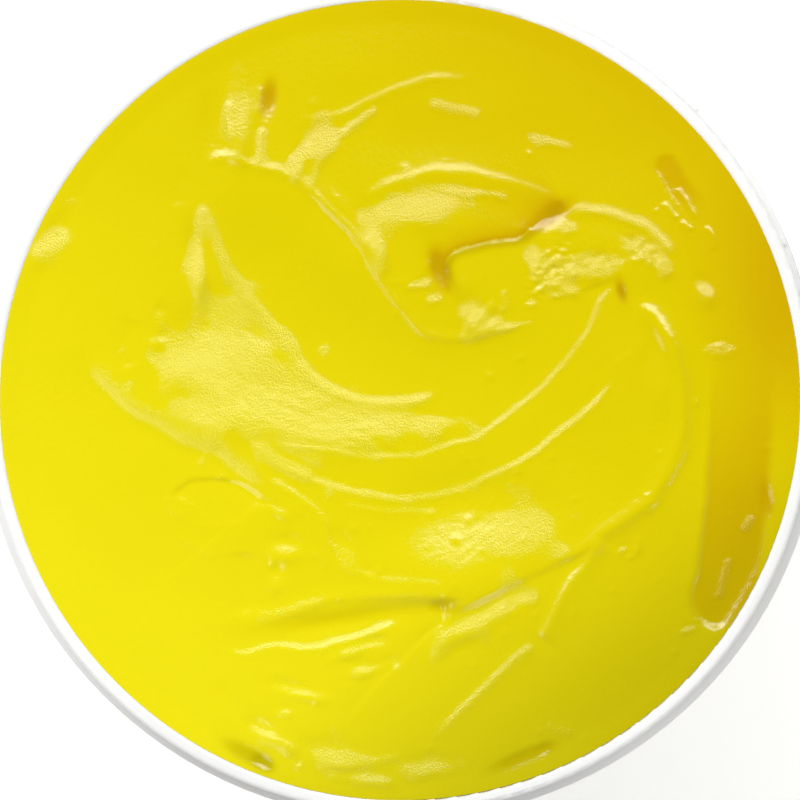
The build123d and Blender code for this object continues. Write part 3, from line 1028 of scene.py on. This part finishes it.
def make_rim_smears(material):
    """Paste wiped over the rim where the knife was scraped clean, and two drips on the outer wall."""
    rim = surface_of("jar_body")
    # Bearing in degrees, then half width, thickness and run down the wall in millimetres.
    wipes = [(1, 5.5, 0.45, 7), (91, 4.0, 0.35, 4), (182, 5.0, 0.4, 5), (269, 6.0, 0.5, 9)]
    for number, (bearing, half, thick, run) in enumerate(wipes):
        line = [
            around(41.5, rim_z + 0.3 * MM, bearing),
            around(42.1, rim_z + 0.4 * MM, bearing),
            around(43.0, rim_z - 0.2 * MM, bearing),
            around(43.6, rim_z - 0.45 * run * MM, bearing),
            around(44.2, rim_z - run * MM, bearing),
        ]
        piece = smear(
            f"rim_smear_{number + 1}", rim, line, [crosswise(bearing)] * len(line),
            half=[0.8 * half, half, 0.9 * half, 0.5 * half, 0.22 * half],
            thick=[thick, thick, thick, 0.8 * thick, thick],
            seed=40 + number,
        )
        attach(piece, "jar", material)
    wall = surface_of("jar_body", "jar_label")
    # Bearing in degrees, then start and end below the band, and half width, in millimetres.
    drips = [(283, 1.5, 26, 1.3), (36, 1.0, 15, 1.0)]
    for number, (bearing, start, end, half) in enumerate(drips):
        line = [around(47, band_low.z - z * MM, bearing) for z in (start, 0.5 * (start + end), end)]
        piece = smear(
            f"wall_drip_{number + 1}", wall, line, [crosswise(bearing)] * len(line),
            half=[1.6 * half, 0.9 * half, 0.7 * half, 0.7 * half, 1.3 * half],
            thick=[0.3, 0.35, 0.4, 0.5, 0.9],
            seed=60 + number,
        )
        attach(piece, "jar", material)


def make_liner_smears(material):
    """Short arcs of paste that the rim printed on the liner."""
    liner = surface_of("cap_liner")
    centre = (lid_centre.x, lid_centre.y)
    print_radius = 41.9
    steps = 40
    # First and last bearing in degrees, then half width in millimetres.
    arcs = [(20, 64, 0.9), (128, 160, 0.7), (205, 262, 1.0)]
    for number, (start, end, half) in enumerate(arcs):
        line = []
        sideways = []
        for step in range(steps + 1):
            bearing = start + (end - start) * step / steps
            line.append(around(print_radius, liner_high.z + 0.3 * MM, bearing, centre))
            turn = math.radians(bearing)
            sideways.append((math.cos(turn), math.sin(turn), 0.0))
        piece = smear(
            f"liner_smear_{number + 1}", liner, line, sideways,
            half=[0.5 * half, half, 0.6 * half, 1.1 * half, 0.5 * half],
            thick=[0.2, 0.35, 0.25, 0.4, 0.2],
            seed=80 + number,
        )
        attach(piece, "liner", material)


paint = make_paint()
attach(paint, "jar", paint_material("wet_yellow_paint", 4.5, 7.0))
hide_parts("paint_fill")
smeared = paint_material("smeared_yellow_paint", 0.0, 0.0)
make_rim_smears(smeared)
make_liner_smears(smeared)

dress("jar_body", moulded_plastic("white_jar_polypropylene", (0.86, 0.86, 0.845, 1), 0.34, 0.25))
dress("neck_band", moulded_plastic("white_band_polypropylene", (0.88, 0.88, 0.865, 1), 0.40, 1.0))
dress("cap_shell", moulded_plastic("white_lid_polypropylene", (0.78, 0.78, 0.765, 1), 0.30, 0.3))
dress("jar_label", label_film())
dress("cap_label", lid_film())
dress("cap_liner", liner_foam())


# ---- studio


def area_light(name, target, bearing, tilt, distance, size, power):
    """Soft rectangular light aimed at target, tilt degrees from straight above on a bearing."""
    data = bpy.data.lights.new(name, "AREA")
    data.shape = "RECTANGLE"
    data.size, data.size_y = size
    data.energy = power
    made = bpy.data.objects.new(name, data)
    turn = math.radians(bearing)
    lean = math.radians(tilt)
    ray = Vector((math.cos(turn) * math.sin(lean), math.sin(turn) * math.sin(lean), math.cos(lean)))
    made.location = Vector(target) + ray * distance
    made.rotation_euler = ray.to_track_quat("Z", "Y").to_euler()
    bpy.context.scene.collection.objects.link(made)


def make_floor():
    """Plain white table top."""
    half = 3.0
    floor = mesh_object(
        "table_top",
        [(-half, -half, 0), (half, -half, 0), (half, half, 0), (-half, half, 0)],
        [(0, 1, 2, 3)],
    )
    material, nodes, output = new_material("white_table")
    principled(
        nodes, output,
        Base_Color=grey(0.85), Roughness=0.6, Emission_Color=grey(1.0), Emission_Strength=0.38,
    )
    floor.data.materials.append(material)


def make_world():
    """Studio surround: bright towards the horizon, dark overhead."""
    world = bpy.data.worlds.new("studio")
    bpy.context.scene.world = world
    world.use_nodes = True
    nodes = world.node_tree.nodes
    nodes.clear()
    output = nodes.new("ShaderNodeOutputWorld")
    background = nodes.new("ShaderNodeBackground")
    join(background.outputs["Background"], output.inputs["Surface"])
    place = nodes.new("ShaderNodeTexCoord").outputs["Generated"]
    colour = ramp(nodes, axes(nodes, place)["Z"], [(0.45, grey(0.28)), (0.85, grey(0.03))])
    join(colour, background.inputs["Color"])
    background.inputs["Strength"].default_value = 1.0


def make_camera():
    """Camera straight above the jar, the mouth just filling the frame from side to side."""
    data = bpy.data.cameras.new("camera")
    distance = 0.2
    data.sensor_width = 36.0
    data.lens = data.sensor_width / 2 * (rim_z + distance - paint_level - paint_creep) / paint_reach
    data.clip_start = 0.01
    data.clip_end = 20.0
    made = bpy.data.objects.new("camera", data)
    made.location = (0, 0, rim_z + distance)
    bpy.context.scene.collection.objects.link(made)
    bpy.context.scene.camera = made


make_floor()
make_world()
make_camera()
# Name, bearing, tilt, distance, two sides and power of each light.
for name, bearing, tilt, distance, size, power in [
    ("window", 92, 27, 1.1, (1.7, 0.24), 9.2),
    ("key", 120, 44, 1.2, (0.5, 0.4), 6.8),
    ("fill", 215, 38, 1.3, (0.8, 0.5), 3.2),
    ("low", 315, 60, 1.3, (0.8, 0.5), 3.4),
]:
    area_light(name, (0, 0, rim_z), bearing, tilt, distance, size, power)
bpy.context.scene.view_settings.view_transform = "Standard"
bpy.context.scene.view_settings.look = "None"
